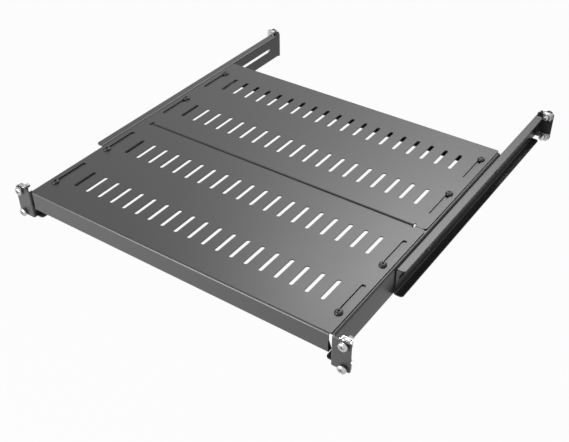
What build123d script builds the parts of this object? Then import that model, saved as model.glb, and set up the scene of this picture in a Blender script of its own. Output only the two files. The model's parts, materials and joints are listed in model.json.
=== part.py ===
from build123d import *
import os

os.makedirs("parts", exist_ok=True)

# A vented shelf for a 19-inch rack, in millimetres: two slotted trays that lie on a pair of
# telescoping side rails. X runs to the right, Y to the rear and Z up. The origin is the
# centre of the four front mounting screws, on the front faces of the front ears.

# Rack pattern: one rack unit, from the front ears to the rear ears
hole_spacing_x = 465.1
hole_spacing_z = 31.75
mounting_depth = 533.0
web_to_hole = 14.05
ear_margin = 7.95
ear_height = 40.0
ear_corner = 2.5

# Sheet steel
sheet = 1.5
inner_bend = 1.0
outer_bend = inner_bend + sheet
sliding_clearance = 0.1
thread_clearance = 0.1

# Trays, with insets counted from their side edges
tray_side_gap = 3.5
tray_depth = 202.5
tray_setback = 1.4
seam_gap = 0.6
outer_lip_inset = 2.0
outer_lip_height = 27.0
return_flange = 15.0
return_corner = 8.0
seam_lip_inset = 16.5
seam_lip_height = 25.0
relief_width = 3.0
relief_depth = 4.0
tab_corner = 5.0

# Slots in the trays, placed from a tray's outer face
slot_row_spacing = 90.0
vent_row = 56.75
vent_pitch = 20.0
vent_margin = 16.0
vent_length = 36.0
vent_width = 5.0
clamp_slot_row = 55.75
clamp_slot_length = 54.5
clamp_slot_width = 5.5
clamp_slot_inset = 9.75

# Side rails, front pair with flanges inwards and rear pair with flanges outwards
front_rail_top = 18.0
front_rail_end_gap = 4.0
web_to_ear = 5.0
front_bottom_flange = 10.5
front_flange_corner = 4.0
rail_bottom = -20.0
rear_rail_top = 17.5
rear_flange = 11.0
rear_flange_corner = 4.0
rear_rail_start = 128.0
rear_flange_gap = 13.0
rail_slot_margin = 7.0
rail_slot_length = 178.5
rail_slot_bridge = 13.0
rail_slot_height = 5.5

# Button-head clamp screws of the trays, and the clinch nuts that they turn in
clamp_screw_radius = 2.5
clamp_head_radius = 4.75
clamp_head_height = 2.75
clamp_head_rim = 0.95
clamp_head_crown = 1.9
clamp_head_bulge = 0.3
clamp_socket_flats = 3.0
clamp_socket_depth = 1.6
clamp_screw_length = 10.0
clinch_nut_radius = 4.75
clinch_nut_height = 4.0
front_tray_screw_rows = (31.5, 121.5)
rear_tray_screw_rows = (34.0, 124.0)

# Lock bolts that hold the rear rails to the front rails, like the clamp screws
front_lock_bolt = 200.0
rear_lock_bolt_inset = 11.5
lock_hole_radius = 2.75
washer_radius = 5.0
washer_thickness = 1.0
lock_nut_flats = 8.0
lock_nut_height = 4.0

# Pan-head mounting screws, square nuts and their cages, with the thickness that the screws grip
grip_thickness = 2.5
front_shank_radius = 3.0
rear_shank_radius = 2.99
mount_thread_radius = 2.7
mount_head_radius = 5.5
mount_head_height = 3.0
mount_head_rim = 1.05
mount_head_crown = 2.75
mount_head_bulge = 0.5
mount_screw_length = 16.0
mount_hole_radius = 3.3
square_nut_width = 10.0
square_nut_height = 5.0
cage_sheet = 0.8
cage_bend = 0.3
cage_clearance = 0.2
cage_height = 9.0
cage_foot = 2.2

# Places worked out from the sizes above
tray_top = front_rail_top + sliding_clearance + sheet
tray_seam = tray_setback + tray_depth
trays_middle = tray_seam + seam_gap / 2
rear_tray_end = 2 * trays_middle - tray_setback
front_rail_end = rear_tray_end - front_rail_end_gap
front_web_outside = hole_spacing_x / 2 - web_to_hole
front_web_inside = front_web_outside - sheet
tray_width = 2 * (front_web_outside - tray_side_gap)
outer_lip_width = tray_width - 2 * outer_lip_inset
seam_lip_width = tray_width - 2 * seam_lip_inset
vent_count = 2 * int((seam_lip_width / 2 - vent_margin) / vent_pitch) + 1
rear_web_inside = front_web_outside + sliding_clearance
rear_web_outside = rear_web_inside + sheet
rear_web_end = mounting_depth - web_to_ear
clamp_line = tray_width / 2 - clamp_slot_inset
front_top_flange = front_web_outside - clamp_line + clinch_nut_radius
ear_tip = hole_spacing_x / 2 + ear_margin
lock_bolt_rows = (front_lock_bolt, front_rail_end - rear_lock_bolt_inset)
front_screw_places = [tray_setback + row for row in front_tray_screw_rows]
rear_screw_places = [rear_tray_end - row for row in rear_tray_screw_rows]
clamp_screw_places = front_screw_places + rear_screw_places
rail_slot_starts = [
    rear_rail_start + rail_slot_margin + i * (rail_slot_length + rail_slot_bridge)
    for i in range(2)
]
mount_places = [(hole_spacing_x / 2, side * hole_spacing_z / 2) for side in (-1, 1)]
lock_washer_inside = rear_web_outside + sliding_clearance
mount_head_top = grip_thickness + mount_head_height
cage_wall = square_nut_width / 2 + cage_clearance
cage_back = -sheet - square_nut_height - cage_clearance


def finish(part, name):
    """Label a finished piece and write it to its own file."""
    part.label = name
    export_step(part, f"parts/{name}.step")


def mirrored(right_part, name):
    """Make and write the left-hand copy of a right-hand piece."""
    with BuildPart() as left_piece:
        mirror(right_part, about=Plane.YZ)
    finish(left_piece.part, name)


# Front tray: a plate with its outer edge folded down and back under, and its seam edge
# folded down between two relief notches
with BuildPart() as front_tray:
    with BuildSketch(Plane.YZ):
        with BuildLine():
            FilletPolyline(
                (tray_setback + return_flange, tray_top - outer_lip_height),
                (tray_setback, tray_top - outer_lip_height),
                (tray_setback, tray_top),
                (tray_seam - relief_depth, tray_top),
                radius=outer_bend,
            )
            offset(amount=sheet, side=Side.RIGHT)
        make_face()
    extrude(amount=outer_lip_width / 2, both=True)
    tip_edges = front_tray.edges().filter_by(Axis.Z).filter_by(
        lambda e: e.center().Z < tray_top - outer_lip_height + sheet
    )
    chamfer(tip_edges, length=return_corner)
    with BuildSketch(Plane.YZ):
        with BuildLine():
            FilletPolyline(
                (tray_setback + outer_bend, tray_top),
                (tray_seam, tray_top),
                (tray_seam, tray_top - seam_lip_height),
                radius=outer_bend,
            )
            offset(amount=sheet, side=Side.RIGHT)
        make_face()
    extrude(amount=seam_lip_width / 2, both=True)
    with BuildSketch(Plane.XY.offset(tray_top - sheet)):
        plate_front = tray_setback + outer_bend
        plate_rear = tray_seam - relief_depth
        with Locations((0, (plate_front + plate_rear) / 2)):
            Rectangle(tray_width, plate_rear - plate_front)
        tab_width = (tray_width - seam_lip_width) / 2 - relief_width
        tab_x = (tray_width - tab_width) / 2
        with Locations(*[(side * tab_x, plate_rear) for side in (-1, 1)]):
            Rectangle(tab_width, relief_depth, align=(Align.CENTER, Align.MIN))
    extrude(amount=sheet)
    tab_edges = front_tray.edges().filter_by(Axis.Z).filter_by(
        lambda e: abs(e.center().Y - tray_seam) < relief_depth / 4
        and abs(e.center().X) > tray_width / 2 - relief_width
    )
    fillet(tab_edges, radius=tab_corner)
    with BuildSketch(Plane.XY.offset(tray_top - sheet)):
        with Locations((0, tray_setback + vent_row + slot_row_spacing / 2)):
            with GridLocations(vent_pitch, slot_row_spacing, vent_count, 2):
                SlotOverall(vent_length, vent_width, rotation=90)
        with Locations((0, tray_setback + clamp_slot_row + slot_row_spacing / 2)):
            with GridLocations(2 * clamp_line, slot_row_spacing, 2, 2):
                SlotOverall(clamp_slot_length, clamp_slot_width, rotation=90)
    extrude(amount=sheet, mode=Mode.SUBTRACT)
finish(front_tray.part, "front_tray")

# Rear tray: the same piece turned half round
with BuildPart() as rear_tray:
    add(front_tray.part.rotate(Axis((0, trays_middle, 0), (0, 0, 1)), 180))
finish(rear_tray.part, "rear_tray")

# Front rail: a channel with its flanges turned inwards, and an ear bent outwards
with BuildPart() as right_front_rail:
    with BuildSketch(Plane.XZ.offset(-web_to_ear)):
        with BuildLine():
            FilletPolyline(
                (front_web_outside - front_top_flange, front_rail_top),
                (front_web_outside, front_rail_top),
                (front_web_outside, rail_bottom),
                (front_web_outside - front_bottom_flange, rail_bottom),
                radius=outer_bend,
            )
            offset(amount=sheet, side=Side.RIGHT)
        make_face()
    extrude(amount=web_to_ear - front_rail_end)
    flange_tips = right_front_rail.edges().filter_by(Axis.Z).filter_by(
        lambda e: e.center().X < front_web_inside - outer_bend
    )
    fillet(flange_tips, radius=front_flange_corner)
    with BuildSketch(Plane.XY.offset(rail_bottom)):
        with BuildLine():
            FilletPolyline(
                (front_web_inside, web_to_ear),
                (front_web_inside, 0),
                (front_web_outside + outer_bend, 0),
                radius=outer_bend,
            )
            offset(amount=sheet, side=Side.LEFT)
        make_face()
    extrude(amount=front_rail_top - rail_bottom)
    with BuildSketch(Plane.XZ):
        with Locations((front_web_outside + inner_bend, 0)):
            ear = Rectangle(
                ear_tip - front_web_outside - inner_bend, ear_height, align=(Align.MIN, Align.CENTER)
            )
        fillet(ear.vertices().group_by(Axis.X)[-1], radius=ear_corner)
        with Locations(*mount_places):
            Circle(mount_hole_radius, mode=Mode.SUBTRACT)
    extrude(amount=sheet, dir=(0, 1, 0))
    with BuildSketch(Plane.XY.offset(front_rail_top - sheet)):
        with Locations(*[(clamp_line, y) for y in clamp_screw_places]):
            Circle(clamp_screw_radius + sliding_clearance)
    extrude(amount=sheet, mode=Mode.SUBTRACT)
    with BuildSketch(Plane.YZ.offset(front_web_inside)):
        with Locations(*[(y, 0) for y in lock_bolt_rows]):
            Circle(lock_hole_radius)
    extrude(amount=sheet, mode=Mode.SUBTRACT)
finish(right_front_rail.part, "right_front_rail")
mirrored(right_front_rail.part, "left_front_rail")

# Rear rail: a channel with its flanges turned outwards, two long slots and an ear
with BuildPart() as right_rear_rail:
    with BuildSketch(Plane.XZ.offset(-rear_rail_start)):
        with BuildLine():
            FilletPolyline(
                (rear_web_inside + rear_flange, rear_rail_top),
                (rear_web_inside, rear_rail_top),
                (rear_web_inside, rail_bottom),
                (rear_web_inside + rear_flange, rail_bottom),
                radius=outer_bend,
            )
            offset(amount=sheet, side=Side.LEFT)
        make_face()
    extrude(amount=rear_rail_start - rear_web_end)
    with BuildSketch(Plane.YZ.offset(rear_web_outside)):
        with Locations((rear_web_end, (rail_bottom + rear_rail_top) / 2)):
            Rectangle(
                rear_flange_gap - web_to_ear,
                rear_rail_top - rail_bottom,
                align=(Align.MAX, Align.CENTER),
            )
    extrude(amount=rear_flange, mode=Mode.SUBTRACT)
    flange_tips = right_rear_rail.edges().filter_by(Axis.Z).filter_by(
        lambda e: e.center().X > rear_web_outside + outer_bend
    )
    fillet(flange_tips, radius=rear_flange_corner)
    with BuildSketch(Plane.XY.offset(rail_bottom)):
        with BuildLine():
            FilletPolyline(
                (rear_web_inside, rear_web_end),
                (rear_web_inside, mounting_depth),
                (rear_web_outside + outer_bend, mounting_depth),
                radius=outer_bend,
            )
            offset(amount=sheet, side=Side.RIGHT)
        make_face()
    extrude(amount=rear_rail_top - rail_bottom)
    with BuildSketch(Plane.XZ.offset(-mounting_depth)):
        with Locations((rear_web_outside + inner_bend, 0)):
            ear = Rectangle(
                ear_tip - rear_web_outside - inner_bend, ear_height, align=(Align.MIN, Align.CENTER)
            )
        fillet(ear.vertices().group_by(Axis.X)[-1], radius=ear_corner)
        with Locations(*mount_places):
            Circle(mount_hole_radius, mode=Mode.SUBTRACT)
    extrude(amount=sheet)
    with BuildSketch(Plane.YZ.offset(rear_web_inside)):
        for slot_start in rail_slot_starts:
            with Locations((slot_start + rail_slot_length / 2, 0)):
                SlotOverall(rail_slot_length, rail_slot_height)
    extrude(amount=sheet, mode=Mode.SUBTRACT)
finish(right_rear_rail.part, "right_rear_rail")
mirrored(right_rear_rail.part, "left_rear_rail")

# Button-head screw with a hexagon socket, standing on the underside of its head
with BuildPart() as clamp_screw:
    with BuildSketch(Plane.XZ):
        with BuildLine():
            Polyline(
                (0, clamp_head_height),
                (0, -clamp_screw_length),
                (clamp_screw_radius, -clamp_screw_length),
                (clamp_screw_radius, 0),
                (clamp_head_radius, 0),
                (clamp_head_radius, clamp_head_rim),
            )
            SagittaArc(
                (clamp_head_radius, clamp_head_rim),
                (clamp_head_crown, clamp_head_height),
                -clamp_head_bulge,
            )
            Line((clamp_head_crown, clamp_head_height), (0, clamp_head_height))
        make_face()
    revolve(axis=Axis.Z)
    with BuildSketch(Plane.XY.offset(clamp_head_height)):
        RegularPolygon(clamp_socket_flats / 2, 6, major_radius=False)
    extrude(amount=-clamp_socket_depth, mode=Mode.SUBTRACT)

# Clinch nut, hanging from its upper face
with BuildPart() as clinch_nut:
    with BuildSketch(Plane.XY):
        Circle(clinch_nut_radius)
        Circle(clamp_screw_radius + thread_clearance, mode=Mode.SUBTRACT)
    extrude(amount=-clinch_nut_height)

for side_name, side in (("left", -1), ("right", 1)):
    for tray_name, rows in (("front_tray", front_screw_places), ("rear_tray", rear_screw_places)):
        with BuildPart() as tray_screws:
            with Locations(*[(side * clamp_line, y, tray_top + sliding_clearance) for y in rows]):
                add(clamp_screw.part)
        finish(tray_screws.part, f"{tray_name}_{side_name}_screws")
    with BuildPart() as clinch_nuts:
        with Locations(*[(side * clamp_line, y, front_rail_top - sheet) for y in clamp_screw_places]):
            add(clinch_nut.part)
    finish(clinch_nuts.part, f"{side_name}_clinch_nuts")

# Lock bolts with their heads and washers outside the rear rails and nuts inside the front rails
with BuildPart() as right_lock_bolts:
    with Locations(
        *[
            Location((lock_washer_inside + washer_thickness, y, 0), (0, 90, 0))
            for y in lock_bolt_rows
        ]
    ):
        add(clamp_screw.part)
finish(right_lock_bolts.part, "right_lock_bolts")
mirrored(right_lock_bolts.part, "left_lock_bolts")

with BuildPart() as right_lock_washers:
    with BuildSketch(Plane.YZ.offset(lock_washer_inside)):
        with Locations(*[(y, 0) for y in lock_bolt_rows]):
            Circle(washer_radius)
            Circle(clamp_screw_radius + thread_clearance, mode=Mode.SUBTRACT)
    extrude(amount=washer_thickness)
finish(right_lock_washers.part, "right_lock_washers")
mirrored(right_lock_washers.part, "left_lock_washers")

with BuildPart() as right_lock_nuts:
    with BuildSketch(Plane.YZ.offset(front_web_inside)):
        with Locations(*[(y, 0) for y in lock_bolt_rows]):
            RegularPolygon(lock_nut_flats / 2, 6, major_radius=False)
            Circle(clamp_screw_radius + thread_clearance, mode=Mode.SUBTRACT)
    extrude(amount=-lock_nut_height)
finish(right_lock_nuts.part, "right_lock_nuts")
mirrored(right_lock_nuts.part, "left_lock_nuts")

def pan_head_screw(shank_radius):
    """Pan-head screw on Z: head and plain shank above the ear's face, thread below it."""
    with BuildPart() as screw:
        with BuildSketch(Plane.XZ):
            with BuildLine():
                Polyline(
                    (0, mount_head_top),
                    (0, grip_thickness - mount_screw_length),
                    (mount_thread_radius, grip_thickness - mount_screw_length),
                    (mount_thread_radius, 0),
                    (shank_radius, 0),
                    (shank_radius, grip_thickness),
                    (mount_head_radius, grip_thickness),
                    (mount_head_radius, grip_thickness + mount_head_rim),
                )
                SagittaArc(
                    (mount_head_radius, grip_thickness + mount_head_rim),
                    (mount_head_crown, mount_head_top),
                    -mount_head_bulge,
                )
                Line((mount_head_crown, mount_head_top), (0, mount_head_top))
            make_face()
        revolve(axis=Axis.Z)
    return screw.part


# Square nut and the bent strip that cages it against the back of an ear
with BuildPart() as square_nut:
    with BuildSketch(Plane.XY.offset(-sheet)):
        Rectangle(square_nut_width, square_nut_width)
        Circle(mount_thread_radius + thread_clearance, mode=Mode.SUBTRACT)
    extrude(amount=-square_nut_height)

with BuildPart() as nut_cage:
    with BuildSketch(Plane.XZ):
        with BuildLine():
            FilletPolyline(
                (-cage_wall - cage_foot, -sheet),
                (-cage_wall, -sheet),
                (-cage_wall, cage_back),
                (cage_wall, cage_back),
                (cage_wall, -sheet),
                (cage_wall + cage_foot, -sheet),
                radius=[cage_bend + cage_sheet, cage_bend, cage_bend, cage_bend + cage_sheet],
            )
            offset(amount=cage_sheet, side=Side.RIGHT)
        make_face()
    extrude(amount=cage_height / 2, both=True)
    with BuildSketch(Plane.XY.offset(cage_back)):
        Circle(mount_hole_radius)
    extrude(amount=2 * cage_sheet, both=True, mode=Mode.SUBTRACT)

for side_name, side in (("left", -1), ("right", 1)):
    for end_name, end_y, turn, shank_radius in (
        ("front", 0, 90, front_shank_radius),
        ("rear", mounting_depth, -90, rear_shank_radius),
    ):
        places = [
            Location((side * hole_spacing_x / 2, end_y, row * hole_spacing_z / 2), (turn, 0, 0))
            for row in (-1, 1)
        ]
        for piece, suffix in (
            (pan_head_screw(shank_radius), "mount_screws"),
            (square_nut.part, "square_nuts"),
            (nut_cage.part, "nut_cages"),
        ):
            with BuildPart() as mount_pieces:
                with Locations(*places):
                    add(piece)
            finish(mount_pieces.part, f"{side_name}_{end_name}_{suffix}")
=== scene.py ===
import json
import math

import bmesh
import bpy
from mathutils import Matrix, Vector


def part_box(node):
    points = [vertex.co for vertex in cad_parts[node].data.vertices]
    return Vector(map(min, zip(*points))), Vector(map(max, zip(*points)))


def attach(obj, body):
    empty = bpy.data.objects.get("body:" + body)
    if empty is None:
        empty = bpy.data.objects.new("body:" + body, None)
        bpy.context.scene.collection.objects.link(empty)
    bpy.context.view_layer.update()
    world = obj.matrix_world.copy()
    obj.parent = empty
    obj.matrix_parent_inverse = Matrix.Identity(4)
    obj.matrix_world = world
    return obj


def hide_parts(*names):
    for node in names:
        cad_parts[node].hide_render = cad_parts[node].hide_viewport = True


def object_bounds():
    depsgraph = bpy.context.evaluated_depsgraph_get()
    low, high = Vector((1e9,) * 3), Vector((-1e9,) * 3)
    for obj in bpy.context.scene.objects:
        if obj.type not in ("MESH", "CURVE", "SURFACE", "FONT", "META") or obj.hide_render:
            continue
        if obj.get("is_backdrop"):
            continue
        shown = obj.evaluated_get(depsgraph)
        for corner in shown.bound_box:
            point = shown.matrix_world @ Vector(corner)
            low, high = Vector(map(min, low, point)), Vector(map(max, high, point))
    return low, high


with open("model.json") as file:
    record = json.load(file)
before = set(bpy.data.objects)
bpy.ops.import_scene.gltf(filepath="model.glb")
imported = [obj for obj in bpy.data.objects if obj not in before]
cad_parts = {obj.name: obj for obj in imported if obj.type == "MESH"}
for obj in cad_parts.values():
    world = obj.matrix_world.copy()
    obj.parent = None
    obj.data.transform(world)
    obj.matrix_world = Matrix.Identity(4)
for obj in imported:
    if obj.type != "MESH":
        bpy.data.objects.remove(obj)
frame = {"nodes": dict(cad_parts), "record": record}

bl_info = {
    "name": "Vented rack shelf",
    "version": (1, 0, 0),
    "blender": (4, 5, 0),
    "location": "View3D > Sidebar > Rack Shelf",
    "description": "Dresses the vented rack shelf: coated sheet metal, screws, nuts and studio",
    "category": "Object",
}

MM = 0.001
SIDES = ("left", "right")
ENDS = ("front", "rear")
SHEET_NODES = ("front_tray", "rear_tray", "left_front_rail", "right_front_rail",
               "left_rear_rail", "right_rear_rail")
NODE_BODY = {
    node: body
    for body, nodes in frame["record"]["behaviour"]["bodies"].items()
    for node in nodes
}
NODE_SLOT = {part["node"]: part["material_slot"] for part in frame["record"]["subparts"]}

# Limits for merging, rounding and shading the meshes
MERGE_DISTANCE = 0.001 * MM
FLAT_ANGLE = math.radians(0.5)
EDGE_ANGLE = math.radians(40)
EDGE_SEGMENTS = 2
SHADE_WEIGHT = 80

WHITE = (1, 1, 1, 1)


# Sizes and colours that a user would change

class ShelfFinish(bpy.types.PropertyGroup):
    """Colours and gloss of the shelf's finishes."""

    powder_colour: bpy.props.FloatVectorProperty(
        name="Powder coat", description="Colour of the coated sheet steel",
        subtype="COLOR", size=4, min=0, max=1, default=(0.037, 0.037, 0.037, 1))
    powder_roughness: bpy.props.FloatProperty(
        name="Powder roughness", description="How dull the powder coat is",
        min=0, max=1, default=0.4)
    zinc_colour: bpy.props.FloatVectorProperty(
        name="Bright zinc", description="Colour of the mounting screws and clinch nuts",
        subtype="COLOR", size=4, min=0, max=1, default=(0.50, 0.50, 0.51, 1))
    cage_colour: bpy.props.FloatVectorProperty(
        name="Spring steel", description="Colour of the nut cages and square nuts",
        subtype="COLOR", size=4, min=0, max=1, default=(0.42, 0.42, 0.44, 1))
    oxide_colour: bpy.props.FloatVectorProperty(
        name="Black oxide", description="Colour of the tray screws and lock bolts",
        subtype="COLOR", size=4, min=0, max=1, default=(0.022, 0.022, 0.024, 1))


class ShelfDetail(bpy.types.PropertyGroup):
    """Small sizes of the edges, threads and drives."""

    sheet_edge: bpy.props.FloatProperty(
        name="Sheet edge", description="Radius of the coated edges of the sheet steel",
        unit="LENGTH", min=0, default=0.22 * MM)
    small_edge: bpy.props.FloatProperty(
        name="Small edge", description="Radius of the edges of washers, cages and clinch nuts",
        unit="LENGTH", min=0, default=0.1 * MM)
    mount_pitch: bpy.props.FloatProperty(
        name="Mounting thread", description="Pitch of the mounting screws' thread",
        unit="LENGTH", min=0.3 * MM, default=1.0 * MM)
    clamp_pitch: bpy.props.FloatProperty(
        name="Clamp thread", description="Pitch of the tray screws' thread",
        unit="LENGTH", min=0.3 * MM, default=0.8 * MM)
    thread_depth: bpy.props.FloatProperty(
        name="Thread depth", description="Depth of the threads",
        unit="LENGTH", min=0, default=0.4 * MM)
    recess_span: bpy.props.FloatProperty(
        name="Cross recess", description="Width across the mounting screws' cross recess",
        unit="LENGTH", min=0, default=6.2 * MM)
    socket_flats: bpy.props.FloatProperty(
        name="Hexagon socket", description="Width across the flats of the tray screws' socket",
        unit="LENGTH", min=0, default=3.0 * MM)


class ShelfStudio(bpy.types.PropertyGroup):
    """Camera, lamps and floor."""

    camera_place: bpy.props.FloatVectorProperty(
        name="Camera place", description="Where the camera stands", subtype="XYZ",
        unit="LENGTH", size=3, default=(0.53327, -0.52678, 0.63220))
    camera_aim: bpy.props.FloatVectorProperty(
        name="Camera aim", description="Point at the middle of the picture", subtype="XYZ",
        unit="LENGTH", size=3, default=(0.05765, 0.14819, 0.0))
    camera_roll: bpy.props.FloatProperty(
        name="Camera roll", description="Turn of the camera about its line of sight",
        subtype="ANGLE", default=math.radians(-0.49))
    camera_lens: bpy.props.FloatProperty(
        name="Lens", description="Focal length in millimetres for a 36 mm sensor",
        min=1, default=55.167)
    floor_drop: bpy.props.FloatProperty(
        name="Floor drop", description="Height of the shelf above the floor",
        unit="LENGTH", min=0, default=0.6)
    world_level: bpy.props.FloatProperty(
        name="World level", description="Level of the even light from all round",
        min=0, default=0.12)
    key_power: bpy.props.FloatProperty(
        name="Key lamp", description="Power of the high lamp behind the shelf, in watts",
        min=0, default=10.0)
    rim_power: bpy.props.FloatProperty(
        name="Rim lamp", description="Power of the lower lamp behind the shelf, in watts",
        min=0, default=10.0)
    fill_power: bpy.props.FloatProperty(
        name="Fill lamp", description="Power of the lamp at the front left, in watts",
        min=0, default=50.0)


# Shader node groups and materials

def add_node(tree, kind, links=(), **values):
    """Adds a node, sets its inputs and properties by name, and links sockets to its inputs."""
    node = tree.nodes.new(kind)
    for key, value in values.items():
        if key in node.inputs:
            node.inputs[key].default_value = value
        else:
            setattr(node, key, value)
    for name, socket in dict(links).items():
        tree.links.new(socket, node.inputs[name])
    return node


def add_group_sockets(tree, inputs, outputs):
    """Gives a shader group its named inputs, with defaults, and its outputs."""
    for name, kind, value in inputs:
        socket = tree.interface.new_socket(name, in_out="INPUT", socket_type=kind)
        socket.default_value = value
    for name, kind in outputs:
        tree.interface.new_socket(name, in_out="OUTPUT", socket_type=kind)
    return tree.nodes.new("NodeGroupInput"), tree.nodes.new("NodeGroupOutput")


def surface_grain_group():
    """Fine grain with slow cloudy changes of colour and gloss, for coated and plated steel."""
    tree = bpy.data.node_groups.new("surface_grain", "ShaderNodeTree")
    source, result = add_group_sockets(
        tree,
        [("Colour", "NodeSocketColor", (0.5, 0.5, 0.5, 1)),
         ("Cloud Scale", "NodeSocketFloat", 8.0),
         ("Cloud Strength", "NodeSocketFloat", 0.06),
         ("Grain Scale", "NodeSocketFloat", 1200.0),
         ("Grain Depth", "NodeSocketFloat", 0.1),
         ("Roughness", "NodeSocketFloat", 0.5),
         ("Roughness Spread", "NodeSocketFloat", 0.06)],
        [("Colour", "NodeSocketColor"), ("Roughness", "NodeSocketFloat"),
         ("Normal", "NodeSocketVector")])
    given = source.outputs
    place = tree.nodes.new("ShaderNodeTexCoord").outputs["Object"]
    cloud = add_node(tree, "ShaderNodeTexNoise", {"Vector": place, "Scale": given["Cloud Scale"]},
                     Detail=4.0, Roughness=0.6)
    grain = add_node(tree, "ShaderNodeTexNoise", {"Vector": place, "Scale": given["Grain Scale"]},
                     Detail=2.0, Roughness=0.5)
    cloud_centred = add_node(tree, "ShaderNodeMath", {0: cloud.outputs["Fac"]},
                             operation="SUBTRACT")
    cloud_centred.inputs[1].default_value = 0.5
    shade = add_node(tree, "ShaderNodeMath",
                     {0: cloud_centred.outputs[0], 1: given["Cloud Strength"]},
                     operation="MULTIPLY")
    brightness = add_node(tree, "ShaderNodeMath", {0: shade.outputs[0]}, operation="ADD")
    brightness.inputs[1].default_value = 1.0
    colour = add_node(tree, "ShaderNodeVectorMath",
                      {0: given["Colour"], "Scale": brightness.outputs[0]}, operation="SCALE")
    mixed = add_node(tree, "ShaderNodeMath", {0: cloud.outputs["Fac"], 1: grain.outputs["Fac"]},
                     operation="ADD")
    mixed_centred = add_node(tree, "ShaderNodeMath", {0: mixed.outputs[0]}, operation="SUBTRACT")
    mixed_centred.inputs[1].default_value = 1.0
    gloss = add_node(tree, "ShaderNodeMath",
                     {0: mixed_centred.outputs[0], 1: given["Roughness Spread"],
                      2: given["Roughness"]}, operation="MULTIPLY_ADD")
    bump = add_node(tree, "ShaderNodeBump",
                    {"Height": grain.outputs["Fac"], "Strength": given["Grain Depth"]},
                    Distance=0.2 * MM)
    tree.links.new(colour.outputs[0], result.inputs["Colour"])
    tree.links.new(gloss.outputs[0], result.inputs["Roughness"])
    tree.links.new(bump.outputs["Normal"], result.inputs["Normal"])
    return tree


def finish_material(slot, grain_group, metallic, **grain_values):
    """A Principled material whose colour, roughness and normal come from the grain group."""
    material = bpy.data.materials.new(slot + "_finish")
    material.use_nodes = True
    tree = material.node_tree
    shader = tree.nodes["Principled BSDF"]
    shader.inputs["Metallic"].default_value = metallic
    grain = tree.nodes.new("ShaderNodeGroup")
    grain.node_tree = grain_group
    for key, value in grain_values.items():
        grain.inputs[key.replace("_", " ").title()].default_value = value
    tree.links.new(grain.outputs["Colour"], shader.inputs["Base Color"])
    tree.links.new(grain.outputs["Roughness"], shader.inputs["Roughness"])
    tree.links.new(grain.outputs["Normal"], shader.inputs["Normal"])
    material.diffuse_color = tuple(grain_values["colour"])
    return material


def material_for(slot):
    """The finish of one of the record's slots."""
    return bpy.data.materials[slot + "_finish"]


# Meshes

def new_object(name, mesh):
    """Links an object that holds the mesh to the scene."""
    piece = bpy.data.objects.new(name, mesh)
    bpy.context.scene.collection.objects.link(piece)
    return piece


def mesh_from(bm, name):
    """Turns a bmesh into a mesh with smooth faces."""
    bmesh.ops.recalc_face_normals(bm, faces=bm.faces)
    for face in bm.faces:
        face.smooth = True
    mesh = bpy.data.meshes.new(name)
    bm.to_mesh(mesh)
    bm.free()
    return mesh


def applied(piece):
    """Replaces the piece's mesh by its evaluated one and removes its modifiers."""
    evaluated = piece.evaluated_get(bpy.context.evaluated_depsgraph_get())
    mesh = bpy.data.meshes.new_from_object(evaluated)
    piece.modifiers.clear()
    piece.data = mesh
    return piece


def soften(piece, edge):
    """Rounds the sharp edges of a piece and keeps its flat faces flat in shade."""
    bevel = piece.modifiers.new("edge", "BEVEL")
    bevel.width = edge
    bevel.segments = EDGE_SEGMENTS
    bevel.limit_method = "ANGLE"
    bevel.angle_limit = EDGE_ANGLE
    bevel.use_clamp_overlap = True
    weighted = piece.modifiers.new("shade", "WEIGHTED_NORMAL")
    weighted.mode = "FACE_AREA"
    weighted.weight = SHADE_WEIGHT
    return applied(piece)


def softened_copy(node, edge):
    """A copy of a CAD node with its triangles merged and its edges rounded."""
    bm = bmesh.new()
    bm.from_mesh(frame["nodes"][node].data)
    bmesh.ops.remove_doubles(bm, verts=bm.verts, dist=MERGE_DISTANCE)
    bmesh.ops.dissolve_limit(bm, angle_limit=FLAT_ANGLE, verts=bm.verts, edges=bm.edges,
                             use_dissolve_boundaries=False)
    piece = new_object(node + "_finished", mesh_from(bm, node + "_finished"))
    return soften(piece, edge)


def dress(piece, nodes):
    """Gives a piece the material of its CAD nodes' slot, attaches it to their body and hides
    those nodes.
    """
    slot = NODE_SLOT[nodes[0]]
    piece.data.materials.clear()
    piece.data.materials.append(material_for(slot))
    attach(piece, NODE_BODY[nodes[0]])
    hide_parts(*nodes)
    return piece


def turned_mesh(name, rows, segments):
    """A closed mesh turned about Z from rows of height and radius, a number or a rule."""
    bm = bmesh.new()
    rings = []
    for height, radius in rows:
        ring = []
        for step in range(segments):
            angle = 2 * math.pi * step / segments
            r = radius(height, angle) if callable(radius) else radius
            ring.append(bm.verts.new((r * math.cos(angle), r * math.sin(angle), height)))
        rings.append(ring)
    for low, high in zip(rings, rings[1:]):
        for i in range(segments):
            j = (i + 1) % segments
            bm.faces.new((low[i], low[j], high[j], high[i]))
    bm.faces.new(rings[0])
    bm.faces.new(rings[-1])
    return mesh_from(bm, name)


def thread_rule(crest, depth, pitch, low, high):
    """The radius of a thread at a height and angle, running out at both ends."""
    def radius(height, angle):
        phase = (height / pitch - angle / (2 * math.pi)) % 1.0
        wave = abs(2 * phase - 1)
        runout = min(1.0, (high - height) / pitch, (height - low) / pitch)
        return crest - depth * (1 - wave * max(runout, 0.0))
    return radius


def screw_rows(head, shank_low, tip, crest, depth, pitch):
    """Rows of a whole screw: chamfered tip, thread, and the given rows from the shank up."""
    per_pitch = 8
    count = int((shank_low - tip) / pitch * per_pitch)
    rule = thread_rule(crest, depth, pitch, tip, shank_low)
    rows = [(tip, crest - 2 * depth), (tip + depth, crest - depth)]
    for i in range(1, count):
        height = tip + depth + (shank_low - tip - depth) * i / count
        rows.append((height, rule))
    return rows + head


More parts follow.
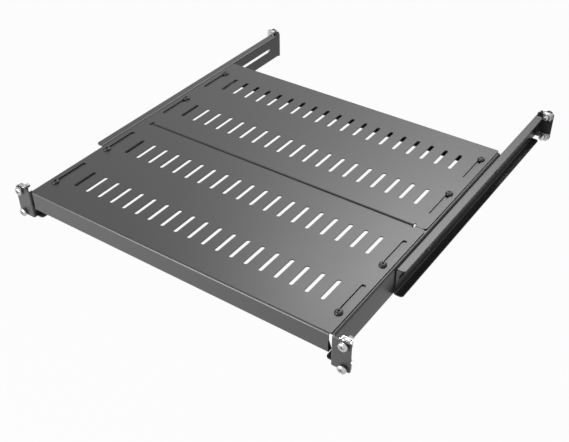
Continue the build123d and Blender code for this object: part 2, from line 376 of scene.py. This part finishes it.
def dome_rows(rim_height, top_height, radius, flat_radius, steps=10):
    """Rows of a rounded head from its rim to the flat at its top."""
    rows = []
    for i in range(steps + 1):
        angle = math.pi / 2 * i / steps
        rows.append((rim_height + (top_height - rim_height) * math.sin(angle),
                     flat_radius + (radius - flat_radius) * math.cos(angle)))
    return rows


def cut_away(piece, cutter):
    """Cuts the cutter's shape out of a piece and deletes the cutter."""
    cut = piece.modifiers.new("cut", "BOOLEAN")
    cut.operation = "DIFFERENCE"
    cut.solver = "EXACT"
    cut.object = cutter
    applied(piece)
    bpy.data.objects.remove(cutter)
    return piece


def tapered_prism(name, outline_top, outline_bottom, top, bottom):
    """A closed prism between two outlines of the same number of corners."""
    bm = bmesh.new()
    upper = [bm.verts.new((x, y, top)) for x, y in outline_top]
    lower = [bm.verts.new((x, y, bottom)) for x, y in outline_bottom]
    bm.faces.new(upper)
    bm.faces.new(lower)
    for i in range(len(upper)):
        j = (i + 1) % len(upper)
        bm.faces.new((upper[i], upper[j], lower[j], lower[i]))
    return new_object(name, mesh_from(bm, name))


def cross_outline(span, width):
    """Corners of a cross, anticlockwise."""
    s, w = span / 2, width / 2
    return [(s, -w), (s, w), (w, w), (w, s), (-w, s), (-w, w),
            (-s, w), (-s, -w), (-w, -w), (-w, -s), (w, -s), (w, -w)]


def polygon_outline(flats, sides):
    """Corners of a regular polygon of the given width across its flats."""
    radius = flats / 2 / math.cos(math.pi / sides)
    angles = [2 * math.pi * i / sides for i in range(sides)]
    return [(radius * math.cos(angle), radius * math.sin(angle)) for angle in angles]


def nut_mesh(name, flats, sides, height, bore, segments):
    """A nut with chamfered corners, its bearing face at height 0 and its body below."""
    chamfer_radius = flats / 2 * 0.99
    chamfer_slope = math.tan(math.radians(30))
    bore_chamfer = 0.3 * MM
    sector = math.pi / sides
    bm = bmesh.new()
    rings = [[] for _ in range(8)]
    for step in range(segments):
        angle = 2 * math.pi * step / segments
        off = (angle + sector) % (2 * sector) - sector
        corner = flats / 2 / math.cos(off)
        drop = max(0.0, corner - chamfer_radius) * chamfer_slope
        ring_values = (
            (bore, -bore_chamfer), (bore + bore_chamfer, 0), (chamfer_radius, 0), (corner, -drop),
            (corner, drop - height), (chamfer_radius, -height), (bore + bore_chamfer, -height),
            (bore, bore_chamfer - height))
        for ring, (radius, z) in zip(rings, ring_values):
            ring.append(bm.verts.new((radius * math.cos(angle), radius * math.sin(angle), z)))
    for ring, following in zip(rings, rings[1:] + rings[:1]):
        for i in range(segments):
            j = (i + 1) % segments
            bm.faces.new((ring[i], ring[j], following[j], following[i]))
    return mesh_from(bm, name)


# Geometry nodes that set out a row of like pieces

def row_tree():
    """Sets copies of the incoming mesh in a straight row, turned alike."""
    tree = bpy.data.node_groups.new("row_of_pieces", "GeometryNodeTree")
    sockets = (("Geometry", "NodeSocketGeometry"), ("Count", "NodeSocketInt"),
               ("Start", "NodeSocketVector"), ("Step", "NodeSocketVector"),
               ("Turn", "NodeSocketVector"), ("Material", "NodeSocketMaterial"))
    for name, kind in sockets:
        tree.interface.new_socket(name, in_out="INPUT", socket_type=kind)
    tree.interface.new_socket("Geometry", in_out="OUTPUT", socket_type="NodeSocketGeometry")
    given = tree.nodes.new("NodeGroupInput").outputs
    result = tree.nodes.new("NodeGroupOutput")
    line = add_node(tree, "GeometryNodeMeshLine",
                    {"Count": given["Count"], "Start Location": given["Start"],
                     "Offset": given["Step"]})
    turn = add_node(tree, "FunctionNodeEulerToRotation", {"Euler": given["Turn"]})
    copies = add_node(tree, "GeometryNodeInstanceOnPoints",
                      {"Points": line.outputs["Mesh"], "Instance": given["Geometry"],
                       "Rotation": turn.outputs["Rotation"]})
    real = add_node(tree, "GeometryNodeRealizeInstances",
                    {"Geometry": copies.outputs["Instances"]})
    painted = add_node(tree, "GeometryNodeSetMaterial",
                       {"Geometry": real.outputs["Geometry"], "Material": given["Material"]})
    tree.links.new(painted.outputs["Geometry"], result.inputs["Geometry"])
    return tree


def set_out(node, mesh, start, step, turn, count=2):
    """Makes a row of pieces in the place of a CAD node of like fasteners."""
    tree = bpy.data.node_groups["row_of_pieces"]
    piece = new_object(node + "_finished", mesh.copy())
    row = piece.modifiers.new("row", "NODES")
    row.node_group = tree
    values = {"Count": count, "Start": start, "Step": step, "Turn": turn,
              "Material": material_for(NODE_SLOT[node])}
    for item in tree.interface.items_tree:
        if item.in_out == "INPUT" and item.name in values:
            row[item.identifier] = values[item.name]
    applied(piece)
    return dress(piece, [node])


# Operators, one for each group of pieces

class SHELF_OT_finishes(bpy.types.Operator):
    """Makes the finishes and the node groups that the pieces share"""

    bl_idname = "shelf.finishes"
    bl_label = "Finishes"

    def execute(self, context):
        finish = context.scene.shelf_finish
        grain = surface_grain_group()
        finish_material(
            "powder_coat", grain, metallic=0.0, colour=finish.powder_colour, cloud_scale=7.0,
            cloud_strength=0.05, grain_scale=1400.0, grain_depth=0.16,
            roughness=finish.powder_roughness, roughness_spread=0.08)
        finish_material(
            "bright_zinc", grain, metallic=1.0, colour=finish.zinc_colour, cloud_scale=400.0,
            cloud_strength=0.12, grain_scale=2500.0, grain_depth=0.05,
            roughness=0.22, roughness_spread=0.1)
        finish_material(
            "spring_steel", grain, metallic=1.0, colour=finish.cage_colour, cloud_scale=300.0,
            cloud_strength=0.15, grain_scale=1800.0, grain_depth=0.08,
            roughness=0.3, roughness_spread=0.1)
        finish_material(
            "black_screws", grain, metallic=0.3, colour=finish.oxide_colour, cloud_scale=500.0,
            cloud_strength=0.2, grain_scale=2200.0, grain_depth=0.06,
            roughness=0.4, roughness_spread=0.1)
        row_tree()
        return {"FINISHED"}


class SHELF_OT_sheet_metal(bpy.types.Operator):
    """Makes the coated trays and rails with rounded edges"""

    bl_idname = "shelf.sheet_metal"
    bl_label = "Trays and rails"

    def execute(self, context):
        edge = context.scene.shelf_detail.sheet_edge
        for node in SHEET_NODES:
            dress(softened_copy(node, edge), [node])
        return {"FINISHED"}


class SHELF_OT_small_sheet(bpy.types.Operator):
    """Makes the nut cages, washers and clinch nuts with rounded edges"""

    bl_idname = "shelf.small_sheet"
    bl_label = "Cages, washers and clinch nuts"

    def execute(self, context):
        edge = context.scene.shelf_detail.small_edge
        nodes = [f"{side}_{end}_nut_cages" for side in SIDES for end in ENDS]
        nodes += [f"{side}_{kind}" for side in SIDES for kind in ("lock_washers", "clinch_nuts")]
        for node in nodes:
            dress(softened_copy(node, edge), [node])
        return {"FINISHED"}


class SHELF_OT_mounting_screws(bpy.types.Operator):
    """Makes the pan-head screws, with their cross recess and thread, and the square nuts"""

    bl_idname = "shelf.mounting_screws"
    bl_label = "Mounting screws and nuts"

    def execute(self, context):
        detail = context.scene.shelf_detail
        grip, head, length = 2.5 * MM, 3 * MM, 16 * MM
        shank_radius, crest_radius, head_radius = 3 * MM, 2.9 * MM, 5.5 * MM
        fillet, edge, segments = 0.3 * MM, 0.08 * MM, 48
        nut_flats, nut_height, nut_bore, nut_segments = 10 * MM, 5 * MM, 3 * MM, 96
        rim, top, crown_radius = grip + head * 0.35, grip + head, head_radius * 0.4
        head_rows = [(0, shank_radius), (grip - fillet, shank_radius),
                     (grip, shank_radius + fillet), (grip, head_radius - fillet),
                     (grip + fillet, head_radius)]
        head_rows += dome_rows(rim, top, head_radius, crown_radius)
        rows = screw_rows(head_rows, 0, grip - length, crest_radius, detail.thread_depth,
                          detail.mount_pitch)
        screw = new_object("mounting_screw", turned_mesh("mounting_screw", rows, segments))
        recess_width, recess_depth = detail.recess_span * 0.19, head * 0.75
        recess_mouth = cross_outline(detail.recess_span, recess_width)
        recess_foot = cross_outline(detail.recess_span * 0.4, recess_width * 0.6)
        cut_away(screw, tapered_prism("cross_recess", recess_mouth, recess_foot,
                                      top + fillet, top - recess_depth))
        soften(screw, edge)
        nut = nut_mesh("square_nut", nut_flats, 4, nut_height, nut_bore, nut_segments)
        for side in SIDES:
            for end, turn in (("front", math.radians(90)), ("rear", math.radians(-90))):
                low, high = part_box(f"{side}_{end}_mount_screws")
                x = (low[0] + high[0]) / 2
                outward = -1 if end == "front" else 1
                face = (low[1] if end == "front" else high[1]) - outward * top
                start = Vector((x, face, low[2] + head_radius))
                step = Vector((0, 0, high[2] - low[2] - 2 * head_radius))
                set_out(f"{side}_{end}_mount_screws", screw.data, start, step, (turn, 0, 0))
                nut_low, nut_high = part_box(f"{side}_{end}_square_nuts")
                start.y = nut_low[1] if end == "front" else nut_high[1]
                set_out(f"{side}_{end}_square_nuts", nut, start, step, (turn, 0, 0))
        bpy.data.objects.remove(screw)
        return {"FINISHED"}


class SHELF_OT_clamp_screws(bpy.types.Operator):
    """Makes the button-head screws of the trays, the lock bolts and their nuts"""

    bl_idname = "shelf.clamp_screws"
    bl_label = "Tray screws and lock bolts"

    def execute(self, context):
        detail = context.scene.shelf_detail
        radius, head_radius, head, length = 2.45 * MM, 4.75 * MM, 2.75 * MM, 10 * MM
        fillet, edge, segments = 0.25 * MM, 0.06 * MM, 40
        nut_play, nut_segments = 0.15 * MM, 72
        thread_top, rim, crown_radius = -0.6 * MM, head * 0.2, head_radius * 0.42
        socket_floor = head * 0.4
        head_rows = [(0, radius), (0, head_radius - fillet), (fillet, head_radius)]
        head_rows += dome_rows(rim, head, head_radius, crown_radius)
        rows = screw_rows(head_rows, thread_top, -length, radius, detail.thread_depth,
                          detail.clamp_pitch)
        screw = new_object("clamp_screw", turned_mesh("clamp_screw", rows, segments))
        socket = polygon_outline(detail.socket_flats, 6)
        cut_away(screw, tapered_prism("socket", socket, socket, head + fillet, socket_floor))
        soften(screw, edge)
        for side in SIDES:
            for tray in ("front_tray", "rear_tray"):
                node = f"{tray}_{side}_screws"
                low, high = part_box(node)
                start = ((low[0] + high[0]) / 2, low[1] + head_radius, high[2] - head)
                step = (0, high[1] - low[1] - 2 * head_radius, 0)
                set_out(node, screw.data, start, step, (0, 0, 0))
            turn = math.radians(90 if side == "right" else -90)
            low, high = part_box(f"{side}_lock_bolts")
            face = high[0] - head if side == "right" else low[0] + head
            start = (face, low[1] + head_radius, (low[2] + high[2]) / 2)
            step = (0, high[1] - low[1] - 2 * head_radius, 0)
            set_out(f"{side}_lock_bolts", screw.data, start, step, (0, turn, 0))
            nut_low, nut_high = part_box(f"{side}_lock_nuts")
            nut = nut_mesh("lock_nut", nut_high[2] - nut_low[2], 6, nut_high[0] - nut_low[0],
                           radius + nut_play, nut_segments)
            face = nut_high[0] if side == "right" else nut_low[0]
            start = (face, start[1], start[2])
            set_out(f"{side}_lock_nuts", nut, start, step, (0, turn, 0))
        bpy.data.objects.remove(screw)
        return {"FINISHED"}


class SHELF_OT_studio(bpy.types.Operator):
    """Makes the floor, the lamps, the white surround and the camera"""

    bl_idname = "shelf.studio"
    bl_label = "Studio"

    def execute(self, context):
        studio = context.scene.shelf_studio
        self.make_floor(studio)
        self.make_world(context.scene, studio)
        for name, place, size, power in (
                ("key", (-0.49, 1.23, 1.49), 0.4, studio.key_power),
                ("rim", (-0.19, 1.5, 1.29), 0.4, studio.rim_power),
                ("fill", (-0.66, -1.49, 0.2), 0.8, studio.fill_power)):
            self.make_lamp(name, place, size, power)
        self.make_camera(context.scene, studio)
        context.scene.view_settings.view_transform = "Standard"
        return {"FINISHED"}

    def make_floor(self, studio):
        """A wide pale floor that keeps the shelf's shadow and looks white to the camera."""
        reach, paint_colour, glow_share = 12.0, (0.3, 0.3, 0.3, 1), 0.97
        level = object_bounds()[0][2] - studio.floor_drop
        corners = [(-reach, -reach, level), (reach, -reach, level), (reach, reach, level),
                   (-reach, reach, level)]
        mesh = bpy.data.meshes.new("studio_floor")
        mesh.from_pydata(corners, [], [(0, 1, 2, 3)])
        floor = new_object("studio_floor", mesh)
        material = bpy.data.materials.new("studio_floor")
        material.use_nodes = True
        tree = material.node_tree
        tree.nodes.remove(tree.nodes["Principled BSDF"])
        output = tree.nodes["Material Output"]
        paint = add_node(tree, "ShaderNodeBsdfDiffuse", Color=paint_colour)
        glow = add_node(tree, "ShaderNodeEmission", Color=WHITE, Strength=1.0)
        share = add_node(tree, "ShaderNodeMath", {0: self.add_seen_mask(tree)},
                         operation="MULTIPLY")
        share.inputs[1].default_value = glow_share
        blend = add_node(tree, "ShaderNodeMixShader", {"Fac": share.outputs[0]})
        tree.links.new(paint.outputs[0], blend.inputs[1])
        tree.links.new(glow.outputs[0], blend.inputs[2])
        tree.links.new(blend.outputs[0], output.inputs["Surface"])
        mesh.materials.append(material)
        floor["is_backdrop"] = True

    def add_seen_mask(self, tree):
        """A mask that is 1 for what the camera sees straight, mirrored or through glass."""
        rays = tree.nodes.new("ShaderNodeLightPath").outputs
        straight = add_node(tree, "ShaderNodeMath",
                            {0: rays["Is Camera Ray"], 1: rays["Is Glossy Ray"]},
                            operation="MAXIMUM")
        seen = add_node(tree, "ShaderNodeMath",
                        {0: straight.outputs[0], 1: rays["Is Transmission Ray"]},
                        operation="MAXIMUM")
        return seen.outputs[0]

    def make_world(self, scene, studio):
        """An even world light that the camera and reflections see as plain white."""
        world = bpy.data.worlds.new("studio_world")
        world.use_nodes = True
        tree = world.node_tree
        output = tree.nodes["World Output"]
        even = tree.nodes["Background"]
        even.inputs["Color"].default_value = WHITE
        even.inputs["Strength"].default_value = studio.world_level
        white = add_node(tree, "ShaderNodeBackground", Color=WHITE, Strength=1.0)
        blend = add_node(tree, "ShaderNodeMixShader", {"Fac": self.add_seen_mask(tree)})
        tree.links.new(even.outputs[0], blend.inputs[1])
        tree.links.new(white.outputs[0], blend.inputs[2])
        tree.links.new(blend.outputs[0], output.inputs["Surface"])
        scene.world = world

    def make_lamp(self, name, place, size, power):
        """A square area lamp that faces the middle of the shelf."""
        lamp = bpy.data.lights.new(name, "AREA")
        lamp.size = size
        lamp.energy = power
        holder = bpy.data.objects.new(name, lamp)
        bpy.context.scene.collection.objects.link(holder)
        holder.location = place
        shelf_middle = Vector((0, 0.2, 0))
        holder.rotation_euler = (shelf_middle - Vector(place)).to_track_quat("-Z", "Y").to_euler()

    def make_camera(self, scene, studio):
        """The camera, aimed at the middle of the picture and turned by its roll."""
        camera = bpy.data.cameras.new("camera")
        camera.sensor_width = 36
        camera.lens = studio.camera_lens
        camera.clip_start = 0.01
        holder = bpy.data.objects.new("camera", camera)
        scene.collection.objects.link(holder)
        place, aim = Vector(studio.camera_place), Vector(studio.camera_aim)
        look = (aim - place).to_track_quat("-Z", "Y").to_matrix()
        roll = Matrix.Rotation(studio.camera_roll, 3, "Z")
        holder.matrix_world = (look @ roll).to_4x4()
        holder.location = place
        scene.camera = holder


class SHELF_PT_panel(bpy.types.Panel):
    """Lists the shelf's settings and operators"""

    bl_idname = "SHELF_PT_panel"
    bl_label = "Rack Shelf"
    bl_space_type = "VIEW_3D"
    bl_region_type = "UI"
    bl_category = "Rack Shelf"

    def draw(self, context):
        for group in (context.scene.shelf_finish, context.scene.shelf_detail,
                      context.scene.shelf_studio):
            box = self.layout.box()
            for key in group.__annotations__:
                box.prop(group, key)
        for operator in OPERATORS:
            self.layout.operator(operator.bl_idname)


OPERATORS = (SHELF_OT_finishes, SHELF_OT_sheet_metal, SHELF_OT_small_sheet,
             SHELF_OT_mounting_screws, SHELF_OT_clamp_screws, SHELF_OT_studio)
GROUPS = (ShelfFinish, ShelfDetail, ShelfStudio)
CLASSES = GROUPS + OPERATORS + (SHELF_PT_panel,)


def register():
    for cls in CLASSES:
        bpy.utils.register_class(cls)
    bpy.types.Scene.shelf_finish = bpy.props.PointerProperty(type=ShelfFinish)
    bpy.types.Scene.shelf_detail = bpy.props.PointerProperty(type=ShelfDetail)
    bpy.types.Scene.shelf_studio = bpy.props.PointerProperty(type=ShelfStudio)


def unregister():
    del bpy.types.Scene.shelf_finish
    del bpy.types.Scene.shelf_detail
    del bpy.types.Scene.shelf_studio
    for cls in reversed(CLASSES):
        bpy.utils.unregister_class(cls)


def main():
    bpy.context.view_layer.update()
    register()
    bpy.ops.shelf.finishes()
    bpy.ops.shelf.sheet_metal()
    bpy.ops.shelf.small_sheet()
    bpy.ops.shelf.mounting_screws()
    bpy.ops.shelf.clamp_screws()
    bpy.ops.shelf.studio()


if __name__ == "__main__":
    main()
